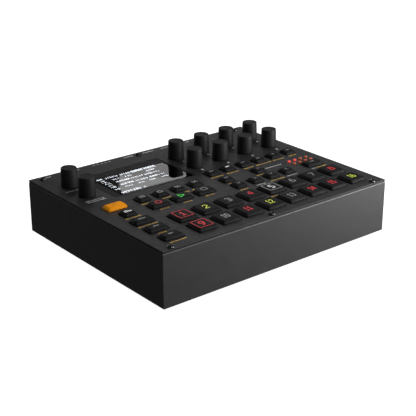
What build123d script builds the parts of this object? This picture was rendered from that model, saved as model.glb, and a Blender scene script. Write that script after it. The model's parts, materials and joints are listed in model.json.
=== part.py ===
"""Desktop drum machine: a folded steel case with a flat control panel, 41 keys, ten knobs and a display.

Frame: millimetres, +X to the right, +Y to the rear, +Z up.  The origin is on the table, under the middle
of the machine's outline.  Panel layout is worked out from the case's left edge (x) and front edge (y).
"""
from build123d import *
from math import atan, degrees, radians, tan
import os

os.makedirs("parts", exist_ok=True)

# Case and panel
foot_height = 5.0
foot_radius = 6.0
foot_inset = 20.0
wall = 1.5
bend_radius = 1.0
front_lip = 7.6
rear_lip = 10.0
panel_thickness = 1.6
panel_setback = 0.2

# Keys
key_width = 10.0
wide_key_length = 17.0
small_key_length = 11.0
step_key_side = 17.0
key_height = 2.5
key_skirt = 0.7
crown_inset = 1.6
crown_corner = 0.3
key_clearance = 0.3
key_travel = 0.6
flange_reach = 1.0
flange_thickness = 1.0
stem_side = 4.0
moving_gap = 0.1

# Knobs, spindles and lamps
knob_radius = 6.65
knob_top_radius = 6.1
knob_height = 15.25
knob_edge = 0.5
knob_lift = 0.4
spindle_radius = 3.0
spindle_clearance = 0.5
lamp_radius = 1.2
lamp_height = 1.0
lamp_pitch = 6.1
lamp_row_pitch = 6.0
lamp_clearance = 0.1

# Round forms that repeat are drawn with flats: many on what is turned, fewer on small holes and pins
turned_sides = 20
small_sides = 8

# Panel screws
screw_head_radius = 2.5
screw_head_height = 1.6
screw_head_taper = 25.0
screw_radius = 1.45
screw_length = 5.0
thread_clearance = 0.05
screw_clearance = 0.25
screw_inset_left = 9.0
screw_middle = 99.4
screw_inset_right = 11.4
screw_inset_front = 3.3
screw_inset_rear = 6.0

# Panel layout: margins and gaps between neighbours
steps_in_row = 8
left_margin = 11.3
right_margin = 10.3
front_gap = 0.7
rear_margin = 21.0
column_gap = 10.3
step_gap = 4.2
step_row_gap = 5.0
left_front_margin = 12.6
left_row_gap = 6.7
transport_gap = 15.1
mode_row_gap = 6.2
small_gap = 5.4
display_gap = 10.4
block_gap = 5.7
block_gap_least = 10.0
page_gap_least = 12.0
arrow_row_gap = 8.3
answer_row_gap = 4.9
parameter_gap = 5.2
parameter_row_gap = 8.2
knob_row_offset = 22.5
knob_row_pitch = 24.5
knob_pitch = 26.5
knob_offset = 0.9
left_knob_inset = 17.4
lamp_offset = 11.3
lamp_row_gap = 3.4

# Display
display_left = 31.0
display_clearance = 0.2
display_sink = 0.2
display_lip = 2.0
display_lip_thickness = 1.2
glass_length = 67.6
glass_width = 41.5
glass_thickness = 1.5
bezel_left = 7.0
bezel_right = 1.4
bezel_front = 1.0
bezel_rear = 9.5
glass_clearance = 0.1
window_side_margin = 1.2
window_ledge_right = 6.6
window_ledge_front = 8.0
module_clearance = 0.4

# Circuit boards and what stands on them
board_thickness = 1.6
board_drop = 10.15
board_inset = 4.0
board_headroom = 2.4
main_board_lift = 5.0
main_board_depth = 70.0
switch_side = 6.0
switch_height = 3.5
encoder_side = 12.0
encoder_height = 6.5
spacer_flats = 5.0
spacer_inset = 5.0

# Rear sockets, with the gaps between their bodies along the rear wall
socket_margin = 7.0
headphone_gap = 6.5
jack_gap = 2.4
din_start_gap = 6.8
din_gap = 2.0
usb_gap = 3.5
inlet_gap = 3.5
power_gap = 4.5
socket_reach = 3.0
socket_clearance = 0.2
jack_body_width = 15.0
jack_body_height = 14.0
jack_body_depth = 26.0
jack_bush_radius = 5.4
jack_nut_flats = 13.0
jack_bore_radius = 3.25
jack_back_wall = 2.0
din_body_width = 19.0
din_body_height = 18.9
din_body_depth = 14.0
din_rim = 0.7
din_groove_outer = 6.9
din_groove_width = 1.3
din_groove_depth = 9.0
din_proud = 0.3
usb_body_width = 12.0
usb_body_height = 11.0
usb_body_depth = 16.0
usb_mouth_width = 8.4
usb_mouth_height = 7.8
usb_mouth_depth = 9.0
usb_tongue_width = 5.6
usb_tongue_height = 3.2
inlet_body_width = 9.0
inlet_body_height = 11.0
inlet_body_depth = 13.5
inlet_collar_radius = 4.0
inlet_bore_radius = 3.1
inlet_bore_depth = 9.5
inlet_pin_radius = 1.0
power_button_radius = 3.4
power_collar_radius = 4.4
power_collar = 1.2
power_travel = 2.5
power_stem_side = 3.0
power_stem_length = 1.2
power_switch_side = 10.0
power_switch_height = 12.0

# Threaded nuts in the floor, on a 100 mm square
stand_hole_pitch = 100.0
stand_hole_radius = 2.0
stand_nut_flats = 7.0
stand_nut_height = 4.0

# Heights worked out from the sizes above: the tub is as high as the boards and the tallest socket need
floor_top = foot_height + wall
main_board_bottom = floor_top + main_board_lift
main_board_top = main_board_bottom + board_thickness
socket_height = max(din_body_height, jack_body_height, power_switch_height)
control_board_top = main_board_top + socket_height + board_headroom + board_thickness
switch_top = control_board_top + switch_height
encoder_top = control_board_top + encoder_height
tub_top = control_board_top + board_drop
tub_height = tub_top - foot_height
panel_bottom = tub_top
panel_top = panel_bottom + panel_thickness
flange_top = panel_bottom - moving_gap
flange_bottom = flange_top - flange_thickness

# Columns, from the left edge
left_column_x = left_margin + wide_key_length / 2
step_pitch = step_key_side + step_gap
first_step_x = left_margin + wide_key_length + column_gap + step_key_side / 2
step_columns = [first_step_x + step_pitch * i for i in range(steps_in_row)]
step_left = first_step_x - step_key_side / 2
small_pitch = small_key_length + small_gap
mode_columns = [step_left + small_key_length / 2 + small_pitch * i for i in range(4)]
mode_right = mode_columns[-1] + small_key_length / 2
display_length = bezel_left + glass_length + bezel_right
display_right = display_left + display_length
block_left = max(display_right + block_gap, mode_right + block_gap_least)
block_x = block_left + small_key_length / 2
parameter_columns = [block_x + (small_key_length + parameter_gap) * i for i in range(6)]
arrow_columns = [block_x + small_pitch * i for i in range(4)]
knob_columns = [block_x + knob_offset + knob_pitch * i for i in range(4)]
arrows_right = arrow_columns[-1] + small_key_length / 2
page_x = max(step_columns[-1], arrows_right + page_gap_least + wide_key_length / 2)

# Rows, from the front edge: the front row's flanges clear the lip
front_margin = front_lip + front_gap + flange_reach
step_rows = [front_margin + step_key_side / 2 + (step_key_side + step_row_gap) * i for i in range(2)]
left_rows = [left_front_margin + key_width / 2 + (key_width + left_row_gap) * i for i in range(3)]
step_rear = step_rows[1] + step_key_side / 2
transport_row = step_rear + transport_gap + key_width / 2
mode_row = transport_row + key_width + mode_row_gap
arrow_row = step_rear + arrow_row_gap + key_width / 2
answer_row = arrow_row + key_width + answer_row_gap
parameter_row = answer_row + key_width + parameter_row_gap
display_front = mode_row + key_width / 2 + display_gap
display_width = bezel_front + glass_width + bezel_rear
knob_rows = [parameter_row + knob_row_offset + knob_row_pitch * i for i in range(2)]
lamp_rows = [arrow_row + key_width / 2 + lamp_row_gap + lamp_row_pitch * i for i in range(2)]
lamp_columns = [page_x - lamp_offset + lamp_pitch * i for i in range(4)]

# Outline: as wide as the widest row needs, as deep as the display needs
block_right = parameter_columns[-1] + small_key_length / 2
steps_right = step_columns[-1] + step_key_side / 2
page_right = page_x + wide_key_length / 2
encoders_right = knob_columns[-1] + encoder_side / 2
case_width = max(block_right, steps_right, page_right, encoders_right) + right_margin
case_depth = display_front + display_width + rear_margin
overall_depth = case_depth + socket_reach


def at(x, y):
    """A place measured from the case's left and front edges, as a point of the part's frame."""
    return (x - case_width / 2, y - overall_depth / 2)


screw_columns = [screw_inset_left, screw_middle, case_width - screw_inset_right]
screw_rows = [screw_inset_front, case_depth - screw_inset_rear]
screw_points = [at(x, y) for x in screw_columns for y in screw_rows]
case_centre = at(case_width / 2, case_depth / 2)
rear_face = at(0, case_depth)[1]
rear_inside = rear_face - wall
rear_plane = Plane(origin=(0, rear_inside, 0), x_dir=(-1, 0, 0), z_dir=(0, 1, 0))
nut_plane = rear_plane.offset(wall)
mouth_plane = rear_plane.offset(wall + socket_reach)


def behind(x, z):
    """A place on a plane that faces the rear: x from the case's left edge, z above the table."""
    return (-at(x, 0)[0], z)


# Rear sockets in a row, each placed from its neighbour
headphone_place = socket_margin + jack_body_width / 2
line_place = headphone_place + jack_body_width + headphone_gap
jack_places = [headphone_place] + [line_place + (jack_body_width + jack_gap) * i for i in range(4)]
din_place = jack_places[-1] + jack_body_width / 2 + din_start_gap + din_body_width / 2
din_places = [din_place + (din_body_width + din_gap) * i for i in range(3)]
usb_place = din_places[-1] + din_body_width / 2 + usb_gap + usb_body_width / 2
inlet_place = usb_place + usb_body_width / 2 + inlet_gap + inlet_body_width / 2
power_place = inlet_place + inlet_body_width / 2 + power_gap + power_switch_side / 2
jack_bore_depth = jack_body_depth + wall + socket_reach - jack_back_wall
din_shell_radius = din_groove_outer + din_rim
din_groove_inner = din_groove_outer - din_groove_width
jack_axis = main_board_top + jack_body_height / 2
din_axis = main_board_top + din_body_height / 2
usb_axis = main_board_top + usb_body_height / 2
inlet_axis = main_board_top + inlet_body_height / 2
power_axis = main_board_top + power_switch_height / 2
jack_points = [behind(x, jack_axis) for x in jack_places]
din_points = [behind(x, din_axis) for x in din_places]
usb_point = behind(usb_place, usb_axis)
inlet_point = behind(inlet_place, inlet_axis)
power_point = behind(power_place, power_axis)


# Case: one folded tub, closed below, with a lip round the top that carries the panel
with BuildPart() as chassis:
    with BuildSketch(Plane.XY.offset(foot_height)):
        with Locations(case_centre):
            Rectangle(case_width, case_depth)
    extrude(amount=tub_height)
    fillet(chassis.edges().group_by(Axis.Z)[-1], bend_radius)
    fillet(chassis.edges().group_by(Axis.Z)[0], bend_radius)
    with BuildSketch(Plane.XY.offset(floor_top)):
        with Locations(case_centre):
            Rectangle(case_width - 2 * wall, case_depth - 2 * wall)
    extrude(amount=tub_height - 2 * wall, mode=Mode.SUBTRACT)
    with BuildSketch(Plane.XY.offset(tub_top)):
        with Locations(at(case_width / 2, (front_lip + case_depth - rear_lip) / 2)):
            Rectangle(case_width - 2 * front_lip, case_depth - front_lip - rear_lip)
    extrude(amount=-2 * wall, mode=Mode.SUBTRACT)
    with BuildSketch(Plane.XY.offset(tub_top)):
        with Locations(screw_points):
            RegularPolygon(screw_radius + thread_clearance, small_sides, major_radius=False)
    extrude(amount=-wall, mode=Mode.SUBTRACT)
    with BuildSketch(rear_plane):
        with Locations(jack_points):
            RegularPolygon(jack_bush_radius + socket_clearance, small_sides)
        with Locations(din_points):
            RegularPolygon(din_shell_radius + socket_clearance, turned_sides)
        with Locations(usb_point):
            Rectangle(usb_body_width + 2 * socket_clearance, usb_body_height + 2 * socket_clearance)
        with Locations(inlet_point):
            RegularPolygon(inlet_collar_radius + socket_clearance, turned_sides)
        with Locations(power_point):
            RegularPolygon(power_button_radius + socket_clearance, turned_sides)
    extrude(amount=wall, mode=Mode.SUBTRACT)
    with BuildSketch(Plane.XY.offset(floor_top)):
        with Locations(case_centre):
            with GridLocations(stand_hole_pitch, stand_hole_pitch, 2, 2):
                RegularPolygon(stand_nut_flats / 2, 6, major_radius=False)
    extrude(amount=stand_nut_height)
    with BuildSketch(Plane.XY.offset(foot_height)):
        with Locations(case_centre):
            with GridLocations(stand_hole_pitch, stand_hole_pitch, 2, 2):
                Circle(stand_hole_radius)
    extrude(amount=wall + stand_nut_height, mode=Mode.SUBTRACT)
chassis.part.label = "chassis"
export_step(chassis.part, "parts/chassis.step")

# Keys: name, column, row, length and width of each cap
keys = []
for i in range(2 * steps_in_row):
    column = step_columns[i % steps_in_row]
    row = step_rows[1 - i // steps_in_row]
    keys.append((f"step_key_{i + 1}", column, row, step_key_side, step_key_side))
for name, row in zip(["track_key", "pattern_key", "song_key"], left_rows):
    keys.append((name, left_column_x, row, wide_key_length, key_width))
keys.append(("mixer_key", left_column_x, transport_row, small_key_length, key_width))
keys.append(("function_key", left_column_x, mode_row, wide_key_length, key_width))
for name, column in zip(["record_key", "play_key", "stop_key"], step_columns):
    keys.append((name, column, transport_row, wide_key_length, key_width))
for i, column in enumerate(mode_columns):
    keys.append((f"mode_key_{i + 1}", column, mode_row, small_key_length, key_width))
for name, column in zip(["no_key", "arrow_left_key", "arrow_down_key", "arrow_right_key"], arrow_columns):
    keys.append((name, column, arrow_row, small_key_length, key_width))
keys.append(("yes_key", arrow_columns[0], answer_row, small_key_length, key_width))
keys.append(("arrow_up_key", arrow_columns[2], answer_row, small_key_length, key_width))
for i, column in enumerate(parameter_columns):
    keys.append((f"parameter_key_{i + 1}", column, parameter_row, small_key_length, key_width))
keys.append(("page_key", page_x, arrow_row, wide_key_length, key_width))

# Each keycap is one moulding: a flange held under the panel, a straight skirt, a tapered crown and a stem
crown_height = key_height - key_skirt
crown_taper = degrees(atan(crown_inset / crown_height))
key_corner = crown_corner + crown_inset * 2 ** 0.5 * tan(radians(22.5))
for name, column, row, length, width in keys:
    with BuildPart() as key:
        with BuildSketch(Plane.XY.offset(flange_bottom)):
            with Locations(at(column, row)):
                Rectangle(length + 2 * flange_reach, width + 2 * flange_reach)
        extrude(amount=flange_thickness)
        with BuildSketch(Plane.XY.offset(flange_top)) as skirt_outline:
            with Locations(at(column, row)):
                Rectangle(length, width)
            chamfer(skirt_outline.vertices(), key_corner)
        extrude(amount=panel_top + key_skirt - flange_top)
        with BuildSketch(Plane.XY.offset(panel_top + key_skirt)) as crown_outline:
            with Locations(at(column, row)):
                Rectangle(length, width)
            chamfer(crown_outline.vertices(), key_corner)
        extrude(amount=crown_height, taper=crown_taper)
        with BuildSketch(Plane.XY.offset(switch_top + key_travel + moving_gap)):
            with Locations(at(column, row)):
                Rectangle(stem_side, stem_side)
        extrude(amount=flange_bottom - switch_top - key_travel - moving_gap)
    key.part.label = name
    export_step(key.part, f"parts/{name}.step")

# Knobs: a turned cap with a rounded top edge on a spindle that runs down to its encoder
knobs = []
for i in range(8):
    knobs.append((f"data_knob_{i + 1}", knob_columns[i % 4], knob_rows[1 - i // 4]))
knobs.append(("volume_knob", left_knob_inset, knob_rows[1]))
knobs.append(("level_knob", left_knob_inset, knob_rows[0]))
grip_height = knob_height - knob_lift - knob_edge
knob_taper = degrees(atan((knob_radius - knob_top_radius) / grip_height))
spindle_bottom = encoder_top + moving_gap / 2
for name, column, row in knobs:
    with BuildPart() as knob:
        with BuildSketch(Plane.XY.offset(panel_top + knob_lift)):
            with Locations(at(column, row)):
                RegularPolygon(knob_radius, turned_sides)
        extrude(amount=grip_height, taper=knob_taper)
        with BuildSketch(Plane.XY.offset(panel_top + knob_height - knob_edge)):
            with Locations(at(column, row)):
                RegularPolygon(knob_top_radius, turned_sides)
        extrude(amount=knob_edge, taper=45)
        with BuildSketch(Plane.XY.offset(spindle_bottom)):
            with Locations(at(column, row)):
                Circle(spindle_radius)
        extrude(amount=panel_top + knob_lift - spindle_bottom)
    knob.part.label = name
    export_step(knob.part, f"parts/{name}.step")

# Top panel: one flat sheet pierced for every key, spindle, lamp and screw, and for the display
with BuildPart() as top_panel:
    with BuildSketch(Plane.XY.offset(panel_bottom)):
        with Locations(case_centre):
            Rectangle(case_width - 2 * panel_setback, case_depth - 2 * panel_setback)
        for name, column, row, length, width in keys:
            with Locations(at(column, row)):
                Rectangle(length + 2 * key_clearance, width + 2 * key_clearance, mode=Mode.SUBTRACT)
        with Locations([at(column, row) for name, column, row in knobs]):
            hole = spindle_radius + spindle_clearance
            RegularPolygon(hole, small_sides, major_radius=False, mode=Mode.SUBTRACT)
        with Locations([at(x, y) for x in lamp_columns for y in lamp_rows]):
            hole = lamp_radius + lamp_clearance
            RegularPolygon(hole, small_sides, major_radius=False, mode=Mode.SUBTRACT)
        with Locations(screw_points):
            hole = screw_radius + screw_clearance
            RegularPolygon(hole, small_sides, major_radius=False, mode=Mode.SUBTRACT)
        with Locations(at(display_left + display_length / 2, display_front + display_width / 2)):
            Rectangle(display_length, display_width, mode=Mode.SUBTRACT)
    extrude(amount=panel_thickness)
top_panel.part.label = "top_panel"
export_step(top_panel.part, "parts/top_panel.step")

# Display: a frame let into the panel from below, with a stepped pocket that holds the glass flush
glass_left = display_left + bezel_left
glass_front = display_front + bezel_front
glass_centre = at(glass_left + glass_length / 2, glass_front + glass_width / 2)
window_length = glass_length - window_side_margin - window_ledge_right
window_width = glass_width - window_side_margin - window_ledge_front
window_centre = at(
    glass_left + window_side_margin + window_length / 2,
    glass_front + window_ledge_front + window_width / 2,
)
display_centre = at(display_left + display_length / 2, display_front + display_width / 2)
with BuildPart() as display_bezel:
    with BuildSketch(Plane.XY.offset(panel_bottom - display_lip_thickness)):
        with Locations(display_centre):
            Rectangle(display_length + 2 * display_lip, display_width + 2 * display_lip)
    extrude(amount=display_lip_thickness)
    with BuildSketch(Plane.XY.offset(panel_bottom)):
        with Locations(display_centre):
            Rectangle(display_length - 2 * display_clearance, display_width - 2 * display_clearance)
    extrude(amount=panel_thickness - display_sink)
    with BuildSketch(Plane.XY.offset(panel_top)):
        with Locations(glass_centre):
            Rectangle(glass_length + 2 * glass_clearance, glass_width + 2 * glass_clearance)
    extrude(amount=-glass_thickness, mode=Mode.SUBTRACT)
    with BuildSketch(Plane.XY.offset(panel_top)):
        with Locations(window_centre):
            Rectangle(window_length, window_width)
    extrude(amount=-panel_thickness - display_lip_thickness, mode=Mode.SUBTRACT)
display_bezel.part.label = "display_bezel"
export_step(display_bezel.part, "parts/display_bezel.step")

with BuildPart() as display_glass:
    with BuildSketch(Plane.XY.offset(panel_top - glass_thickness)):
        with Locations(glass_centre):
            Rectangle(glass_length, glass_width)
    extrude(amount=glass_thickness)
display_glass.part.label = "display_glass"
export_step(display_glass.part, "parts/display_glass.step")

# Control board with its switches, encoders, lamp light pipes and display module, hung on hexagonal spacers
board_length = case_width - 2 * wall - 2 * board_inset
control_board_depth = case_depth - 2 * wall - 2 * board_inset
with BuildPart() as control_board:
    with BuildSketch(Plane.XY.offset(control_board_top)):
        with Locations(case_centre):
            Rectangle(board_length, control_board_depth)
    extrude(amount=-board_thickness)
with BuildPart() as switches:
    with BuildSketch(Plane.XY.offset(control_board_top)):
        with Locations([at(column, row) for name, column, row, length, width in keys]):
            Rectangle(switch_side, switch_side)
    extrude(amount=switch_height)
with BuildPart() as encoders:
    with BuildSketch(Plane.XY.offset(control_board_top)):
        with Locations([at(column, row) for name, column, row in knobs]):
            Rectangle(encoder_side, encoder_side)
    extrude(amount=encoder_height)
with BuildPart() as light_pipes:
    with BuildSketch(Plane.XY.offset(control_board_top)):
        with Locations([at(x, y) for x in lamp_columns for y in lamp_rows]):
            RegularPolygon(lamp_radius, small_sides, major_radius=False)
    extrude(amount=board_drop + panel_thickness + lamp_height)
with BuildPart() as display_module:
    with BuildSketch(Plane.XY.offset(control_board_top)):
        with Locations(window_centre):
            Rectangle(window_length - 2 * module_clearance, window_width - 2 * module_clearance)
    extrude(amount=panel_top - glass_thickness - control_board_top)

first_gap_x = left_margin + wide_key_length + column_gap / 2
rear_spacer_row = case_depth - rear_lip - spacer_inset
spacer_spots = [
    at(first_gap_x, (step_rows[0] + step_rows[1]) / 2),
    at(first_gap_x, mode_row),
    at((mode_right + block_left) / 2, mode_row),
    at((arrows_right + page_x - wide_key_length / 2) / 2, arrow_row),
    at(left_knob_inset, rear_spacer_row),
    at((display_right + display_lip + knob_columns[0]) / 2, rear_spacer_row),
    at(knob_columns[-1], rear_spacer_row),
]
with BuildPart() as panel_spacers:
    with BuildSketch(Plane.XY.offset(control_board_top)):
        with Locations(spacer_spots):
            RegularPolygon(spacer_flats / 2, 6, major_radius=False)
    extrude(amount=board_drop)

main_board_middle = case_depth - wall - board_inset - main_board_depth / 2
with BuildPart() as main_board:
    with BuildSketch(Plane.XY.offset(main_board_bottom)):
        with Locations(at(case_width / 2, main_board_middle)):
            Rectangle(board_length, main_board_depth)
    extrude(amount=board_thickness)
with BuildPart() as floor_spacers:
    with BuildSketch(Plane.XY.offset(floor_top)):
        with Locations(at(case_width / 2, main_board_middle)):
            with GridLocations(board_length - 2 * spacer_inset, main_board_depth - 2 * spacer_inset, 2, 2):
                RegularPolygon(spacer_flats / 2, 6, major_radius=False)
    extrude(amount=main_board_lift)
power_switch_rear = rear_inside - moving_gap - power_collar - power_stem_length - power_travel
with BuildPart() as power_switch:
    with BuildSketch(Plane.XY.offset(main_board_top)):
        with Locations((at(power_place, 0)[0], power_switch_rear - power_switch_side / 2)):
            Rectangle(power_switch_side, power_switch_side)
    extrude(amount=power_switch_height)
circuit_board = Compound(
    label="circuit_board",
    children=[
        control_board.part,
        switches.part,
        encoders.part,
        light_pipes.part,
        display_module.part,
        panel_spacers.part,
        main_board.part,
        floor_spacers.part,
        power_switch.part,
    ],
)
export_step(circuit_board, "parts/circuit_board.step")

# Rear sockets, each soldered to the main board and reaching through its own hole in the rear wall
with BuildPart() as rear_connectors:
    with BuildSketch(Plane.XY.offset(main_board_top)):
        with Locations([(at(x, 0)[0], rear_inside - jack_body_depth / 2) for x in jack_places]):
            Rectangle(jack_body_width, jack_body_depth)
    extrude(amount=jack_body_height)
    with BuildSketch(rear_plane):
        with Locations(jack_points):
            RegularPolygon(jack_bush_radius, small_sides)
    extrude(amount=wall)
    with BuildSketch(nut_plane):
        with Locations(jack_points):
            RegularPolygon(jack_nut_flats / 2, 6, major_radius=False)
    extrude(amount=socket_reach)
    with BuildSketch(mouth_plane):
        with Locations(jack_points):
            Circle(jack_bore_radius)
    extrude(amount=-jack_bore_depth, mode=Mode.SUBTRACT)
    with BuildSketch(Plane.XY.offset(main_board_top)):
        with Locations([(at(x, 0)[0], rear_inside - din_body_depth / 2) for x in din_places]):
            Rectangle(din_body_width, din_body_depth)
    extrude(amount=din_body_height)
    with BuildSketch(rear_plane):
        with Locations(din_points):
            RegularPolygon(din_shell_radius, turned_sides)
    extrude(amount=wall + din_proud)
    with BuildSketch(rear_plane.offset(wall + din_proud)):
        with Locations(din_points):
            RegularPolygon(din_groove_outer, turned_sides)
            RegularPolygon(din_groove_inner, turned_sides, mode=Mode.SUBTRACT)
    extrude(amount=-din_groove_depth, mode=Mode.SUBTRACT)
    with BuildSketch(rear_plane.offset(wall + din_proud)):
        with Locations(usb_point):
            Rectangle(usb_body_width, usb_body_height)
    extrude(amount=-usb_body_depth)
    with BuildSketch(rear_plane.offset(wall + din_proud)):
        with Locations(usb_point):
            Rectangle(usb_mouth_width, usb_mouth_height)
            Rectangle(usb_tongue_width, usb_tongue_height, mode=Mode.SUBTRACT)
    extrude(amount=-usb_mouth_depth, mode=Mode.SUBTRACT)
    with BuildSketch(rear_plane):
        with Locations(inlet_point):
            Rectangle(inlet_body_width, inlet_body_height)
    extrude(amount=-inlet_body_depth)
    with BuildSketch(rear_plane):
        with Locations(inlet_point):
            RegularPolygon(inlet_collar_radius, turned_sides)
    extrude(amount=wall)
    with BuildSketch(nut_plane):
        with Locations(inlet_point):
            RegularPolygon(inlet_bore_radius, turned_sides)
            RegularPolygon(inlet_pin_radius, small_sides, mode=Mode.SUBTRACT)
    extrude(amount=-inlet_bore_depth, mode=Mode.SUBTRACT)
rear_connectors.part.label = "rear_connectors"
export_step(rear_connectors.part, "parts/rear_connectors.step")

# Power button: a round plunger with a collar that stops it inside the rear wall
with BuildPart() as power_button:
    with BuildSketch(mouth_plane):
        with Locations(power_point):
            RegularPolygon(power_button_radius, turned_sides)
    extrude(amount=-socket_reach - wall - moving_gap)
    with BuildSketch(rear_plane.offset(-moving_gap)):
        with Locations(power_point):
            RegularPolygon(power_collar_radius, turned_sides)
    extrude(amount=-power_collar)
    with BuildSketch(rear_plane.offset(-moving_gap - power_collar)):
        with Locations(power_point):
            Rectangle(power_stem_side, power_stem_side)
    extrude(amount=-power_stem_length)
power_button.part.label = "power_button"
export_step(power_button.part, "parts/power_button.step")

# Panel screws: low button heads with plain shanks down through the lip
with BuildPart() as panel_screws:
    with BuildSketch(Plane.XY.offset(panel_top)):
        with Locations(screw_points):
            RegularPolygon(screw_head_radius, turned_sides)
    extrude(amount=screw_head_height, taper=screw_head_taper)
    with BuildSketch(Plane.XY.offset(panel_top)):
        with Locations(screw_points):
            RegularPolygon(screw_radius, small_sides, major_radius=False)
    extrude(amount=-screw_length)
panel_screws.part.label = "panel_screws"
export_step(panel_screws.part, "parts/panel_screws.step")

# Rubber feet, one near each corner
with BuildPart() as rubber_feet:
    with BuildSketch(Plane.XY.offset(foot_height)):
        with Locations(case_centre):
            with GridLocations(case_width - 2 * foot_inset, case_depth - 2 * foot_inset, 2, 2):
                RegularPolygon(foot_radius, turned_sides)
    extrude(amount=-foot_height)
rubber_feet.part.label = "rubber_feet"
export_step(rubber_feet.part, "parts/rubber_feet.step")
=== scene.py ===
"""Desktop drum machine, dressed round its packed construction.  Lengths are metres, in the frame's axes."""
import json

import bpy
import numpy as np
from mathutils import Matrix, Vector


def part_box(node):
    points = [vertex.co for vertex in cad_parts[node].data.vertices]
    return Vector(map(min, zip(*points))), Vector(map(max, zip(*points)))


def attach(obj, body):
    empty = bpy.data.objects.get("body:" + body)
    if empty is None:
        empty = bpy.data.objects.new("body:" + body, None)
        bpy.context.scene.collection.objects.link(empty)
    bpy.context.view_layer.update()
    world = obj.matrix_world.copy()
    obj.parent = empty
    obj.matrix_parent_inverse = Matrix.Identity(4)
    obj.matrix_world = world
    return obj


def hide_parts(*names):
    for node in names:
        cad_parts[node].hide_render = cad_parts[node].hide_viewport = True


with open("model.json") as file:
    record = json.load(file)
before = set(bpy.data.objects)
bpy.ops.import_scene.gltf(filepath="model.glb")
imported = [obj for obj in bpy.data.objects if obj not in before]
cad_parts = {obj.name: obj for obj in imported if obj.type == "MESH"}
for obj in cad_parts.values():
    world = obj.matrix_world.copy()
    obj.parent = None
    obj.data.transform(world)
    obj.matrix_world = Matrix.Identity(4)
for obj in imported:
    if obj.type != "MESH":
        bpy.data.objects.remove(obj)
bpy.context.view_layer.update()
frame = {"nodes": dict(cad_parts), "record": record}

# Case: a tub folded from 1.5 mm sheet steel, closed below, with tapped nuts pressed into its floor.
# It is sprayed with a fine black powder coat, matt and faintly grained.
mm = 0.001
case_black = (0.033, 0.033, 0.0342)
colour_waves = 55
rough_waves = 170
rough_drift = 0.05
grain_strength = 0.7
edge_samples = 6


def clouds(tree, waves, detail):
    """Cloud noise of so many waves per metre over the object's own coordinates, about 0.3 to 0.7."""
    place = tree.nodes.new("ShaderNodeTexCoord")
    noise = tree.nodes.new("ShaderNodeTexNoise")
    noise.inputs["Scale"].default_value = waves
    noise.inputs["Detail"].default_value = detail
    tree.links.new(place.outputs["Object"], noise.inputs["Vector"])
    return noise.outputs["Fac"]


def spread(tree, noise, low, high):
    """The straight line that takes noise of 0.3 to low and noise of 0.7 to high."""
    line = tree.nodes.new("ShaderNodeMapRange")
    line.inputs["From Min"].default_value = 0.3
    line.inputs["From Max"].default_value = 0.7
    line.inputs["To Min"].default_value = low
    line.inputs["To Max"].default_value = high
    tree.links.new(noise, line.inputs["Value"])
    return line.outputs["Result"]


def drift(tree, colour, share, waves):
    """A colour that wanders between 1 - share and 1 + share of itself, in clouds of so many waves a metre."""
    mix = tree.nodes.new("ShaderNodeMix")
    mix.data_type = "RGBA"
    mix.inputs["A"].default_value = (*[c * (1 - share) for c in colour], 1)
    mix.inputs["B"].default_value = (*[c * (1 + share) for c in colour], 1)
    tree.links.new(spread(tree, clouds(tree, waves, 3), 0, 1), mix.inputs["Factor"])
    return mix.outputs["Result"]


def finish(name, colour, rough, grain, depth, gloss=0.5, metal=0.0, share=0.06, edge=0.0):
    """A moulded, coated or plated finish: colour and roughness drift slowly, and a grain stands depth metres
    high.  Where edge is given, sharp edges catch the light as if rounded to that radius."""
    material = bpy.data.materials.new(name)
    material.use_nodes = True
    tree = material.node_tree
    shader = tree.nodes["Principled BSDF"]
    shader.inputs["Specular IOR Level"].default_value = gloss
    shader.inputs["Metallic"].default_value = metal
    tree.links.new(drift(tree, colour, share, colour_waves), shader.inputs["Base Color"])
    rough_noise = spread(tree, clouds(tree, rough_waves, 4), rough - rough_drift, rough + rough_drift)
    tree.links.new(rough_noise, shader.inputs["Roughness"])
    bump = tree.nodes.new("ShaderNodeBump")
    bump.inputs["Distance"].default_value = depth
    bump.inputs["Strength"].default_value = grain_strength
    tree.links.new(clouds(tree, grain, 2), bump.inputs["Height"])
    tree.links.new(bump.outputs["Normal"], shader.inputs["Normal"])
    if edge:
        bevel = tree.nodes.new("ShaderNodeBevel")
        bevel.samples = edge_samples
        bevel.inputs["Radius"].default_value = edge
        tree.links.new(bevel.outputs["Normal"], bump.inputs["Normal"])
    return material


def dress(node, material):
    """A construction node keeps its shape and takes this finish."""
    slots = frame["nodes"][node].data.materials
    slots.clear()
    slots.append(material)


dress("chassis", finish("case_coat", case_black, 0.5, 2600, 0.02 * mm, gloss=0.64))

# Feet: four moulded rubber pads pressed into the floor, each with a soft edge and a shallow cup below.
# They are turned profiles: a row of radii and heights carried round an upright axis.
foot_radius = 6.0 * mm
foot_cup = 4.0 * mm
foot_cup_depth = 0.8 * mm
foot_slant = 0.4 * mm
foot_edge = 1.0 * mm
foot_cup_edge = 0.3 * mm
foot_top_edge = 0.05 * mm
foot_core = 0.2 * mm
foot_around = 48


def soften(profile, reach, steps=5):
    """Rounds each inner corner of a row of points: between two points that lie reach before and after the
    corner it follows the quadratic curve (1 - t)^2 start + 2 t (1 - t) corner + t^2 end."""
    profile = np.asarray(profile, float)
    corner = profile[1:-1]
    before = profile[:-2] - corner
    after = profile[2:] - corner
    reach = np.broadcast_to(np.asarray(reach, float), len(before))[:, None]
    start = corner + reach * before / np.linalg.norm(before, axis=1, keepdims=True)
    end = corner + reach * after / np.linalg.norm(after, axis=1, keepdims=True)
    t = np.linspace(0, 1, steps)[None, :, None]
    curve = (1 - t) ** 2 * start[:, None] + 2 * t * (1 - t) * corner[:, None] + t**2 * end[:, None]
    return np.concatenate([profile[:1], curve.reshape(-1, 2), profile[-1:]])


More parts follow.
